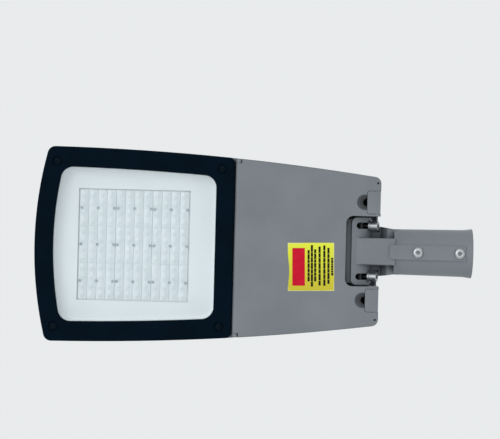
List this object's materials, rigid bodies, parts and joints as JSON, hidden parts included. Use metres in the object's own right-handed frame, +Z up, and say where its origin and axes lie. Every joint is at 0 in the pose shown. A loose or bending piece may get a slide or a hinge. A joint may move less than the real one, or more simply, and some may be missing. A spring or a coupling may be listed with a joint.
{
  "type": "led street light head",
  "caption": "Flat tapered street light head: black bezel with glass over lens arrays, grey door with latches, and a tilting slotted spigot for a pole arm.",
  "frame": {"origin": "centre of the mouth of the spigot's pole socket", "axes": "+X out of the socket's mouth, along the head's length; +Z up to the sky; the light shines along -Z"},
  "size_m": [0.6007, 0.2664, 0.083],
  "materials": {
    "grey_casting": "fine powder coat, satin",
    "grey_lever": "fine powder coat, satin",
    "black_bezel": "moulded, low sheen",
    "dark_screw": "blackened",
    "clear_glass": "toughened float glass",
    "silicone": "matt",
    "white_sheet": "white stove enamel",
    "board": "white solder mask on aluminium",
    "led_chip": "phosphor coated",
    "small_screw": "zinc plated",
    "white_nylon": "moulded",
    "driver_metal": "natural extruded",
    "pale_plastic": "moulded",
    "cable_jacket": "smooth jacket",
    "black_rubber": "matt",
    "stainless": "bright stainless",
    "spring_steel": "rolled strip",
    "label_film": "printed film",
    "lens_plastic": "clear moulded"
  },
  "bodies": {
    "spigot": {"spigot": "grey_casting", "clamp_screw_inner": "stainless", "clamp_screw_outer": "stainless"},
    "housing": {"upper_housing": "grey_casting", "bezel_frame": "black_bezel", "bezel_screws": "dark_screw", "glass_cover": "clear_glass", "glass_gasket": "silicone", "reflector_plate": "white_sheet", "led_board": "board", "led_chips": "led_chip", "module_screws": "small_screw", "board_connector": "white_nylon", "driver_case": "driver_metal", "driver_end_caps": "driver_metal", "surge_protector": "pale_plastic", "terminal_block": "white_nylon", "bay_screws": "small_screw", "lamp_lead": "cable_jacket", "mains_lead": "cable_jacket", "lamp_gland": "black_rubber", "cable_grommet": "black_rubber", "tilt_bolts": "stainless", "tilt_washers": "stainless", "tilt_spring_washers": "stainless", "hinge_pins": "stainless", "catch_rivets": "stainless", "catch_spring_left": "spring_steel", "catch_spring_right": "spring_steel", "lens_array_1": "lens_plastic", "lens_array_2": "lens_plastic", "lens_array_3": "lens_plastic", "lens_array_4": "lens_plastic", "lens_array_5": "lens_plastic", "lens_array_6": "lens_plastic", "lens_array_7": "lens_plastic", "lens_array_8": "lens_plastic", "lens_array_9": "lens_plastic"},
    "door": {"door": "grey_casting", "door_gasket": "silicone", "rating_label": "label_film", "latch_pin_left": "stainless", "latch_pin_right": "stainless"},
    "latch_left": {"latch_lever_left": "grey_lever"},
    "latch_right": {"latch_lever_right": "grey_lever"}
  },
  "joints": [
    {"name": "tilt_hinge", "type": "hinge", "parent": "spigot", "child": "housing", "pos_m": [-0.1707, 0, 0], "axis": [0, 1, 0], "range_deg": [-15, 40]},
    {"name": "door_hinge", "type": "hinge", "parent": "housing", "child": "door", "pos_m": [-0.324, 0, -0.036], "axis": [0, 1, 0], "range_deg": [0, 90], "deforming": ["catch_spring_left", "catch_spring_right"]},
    {"name": "latch_pull_left", "type": "hinge", "parent": "door", "child": "latch_left", "pos_m": [-0.1335, -0.067, -0.034], "axis": [0, -1, 0], "range_deg": [0, 25], "stiffness_Nm_per_rad": 0.2, "springref_deg": -11.46},
    {"name": "latch_pull_right", "type": "hinge", "parent": "door", "child": "latch_right", "pos_m": [-0.1335, 0.067, -0.034], "axis": [0, -1, 0], "range_deg": [0, 25], "stiffness_Nm_per_rad": 0.2, "springref_deg": -11.46}
  ]
}
